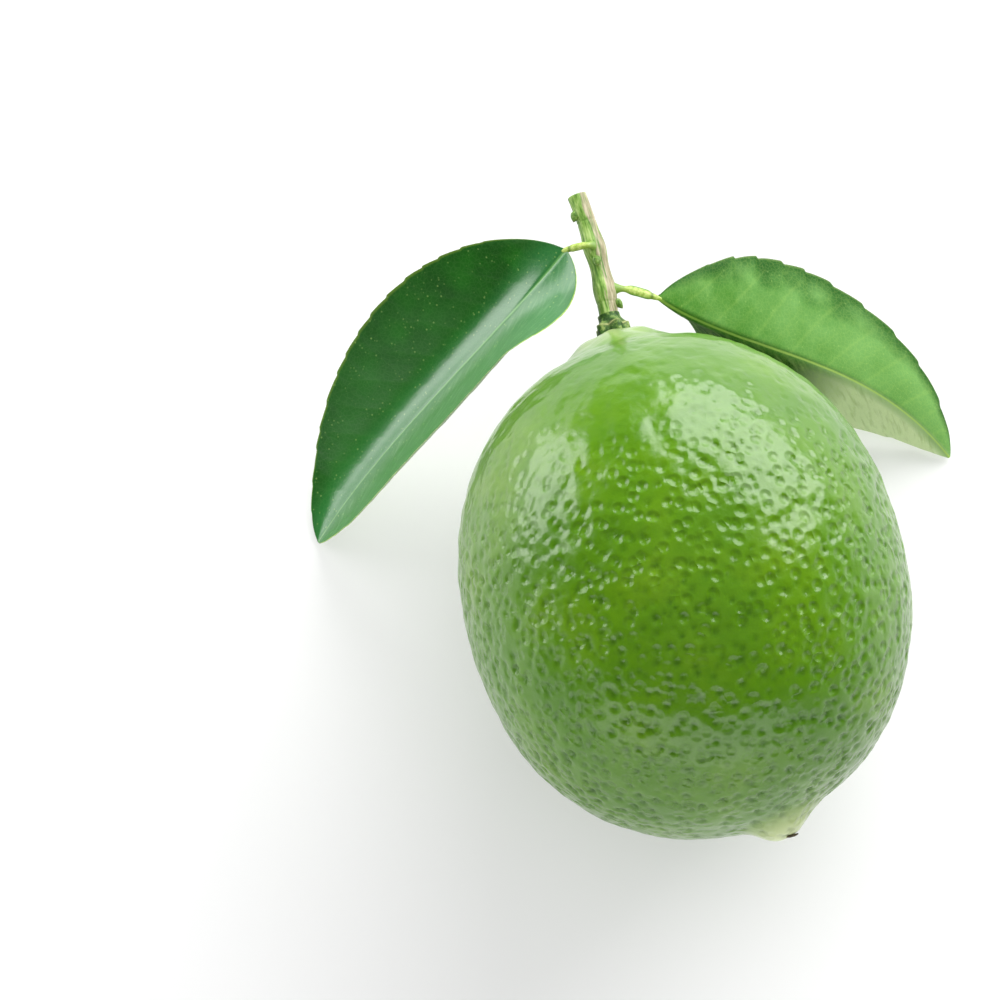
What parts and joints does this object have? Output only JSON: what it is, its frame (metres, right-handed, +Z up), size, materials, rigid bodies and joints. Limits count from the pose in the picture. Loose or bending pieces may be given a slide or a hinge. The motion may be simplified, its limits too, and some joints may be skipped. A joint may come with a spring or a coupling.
{
  "type": "lime with leafy twig",
  "caption": "Whole lime lying on its side, with its calyx, a short cut twig and leaves that droop to the table on either side.",
  "frame": {"origin": "middle of the small flat spot that the fruit rests on, on the table's surface", "axes": "+Z up, +Y along the fruit's long axis towards its stem end"},
  "size_m": [0.0858, 0.0852, 0.0536],
  "materials": {
    "lime_rind": "waxy, glossy, finely pitted green rind",
    "calyx_green": "matt, slightly woody green",
    "young_bark": "matt grey-green young bark with tan ridges",
    "leaf_stalk": "satin yellow-green",
    "leaf_dark": "waxy satin dark green, with fine oil dots",
    "leaf_bright": "satin mid green, paler beneath",
    "bud_green": "matt green"
  },
  "bodies": {
    "root": {"fruit": "lime_rind", "calyx": "calyx_green", "twig": "young_bark", "left_petiole": "leaf_stalk", "right_petiole": "leaf_stalk", "left_leaf_blade": "leaf_dark", "right_leaf_blade": "leaf_bright", "left_bud": "bud_green", "right_bud": "bud_green", "upper_bud": "bud_green"}
  },
  "joints": []
}
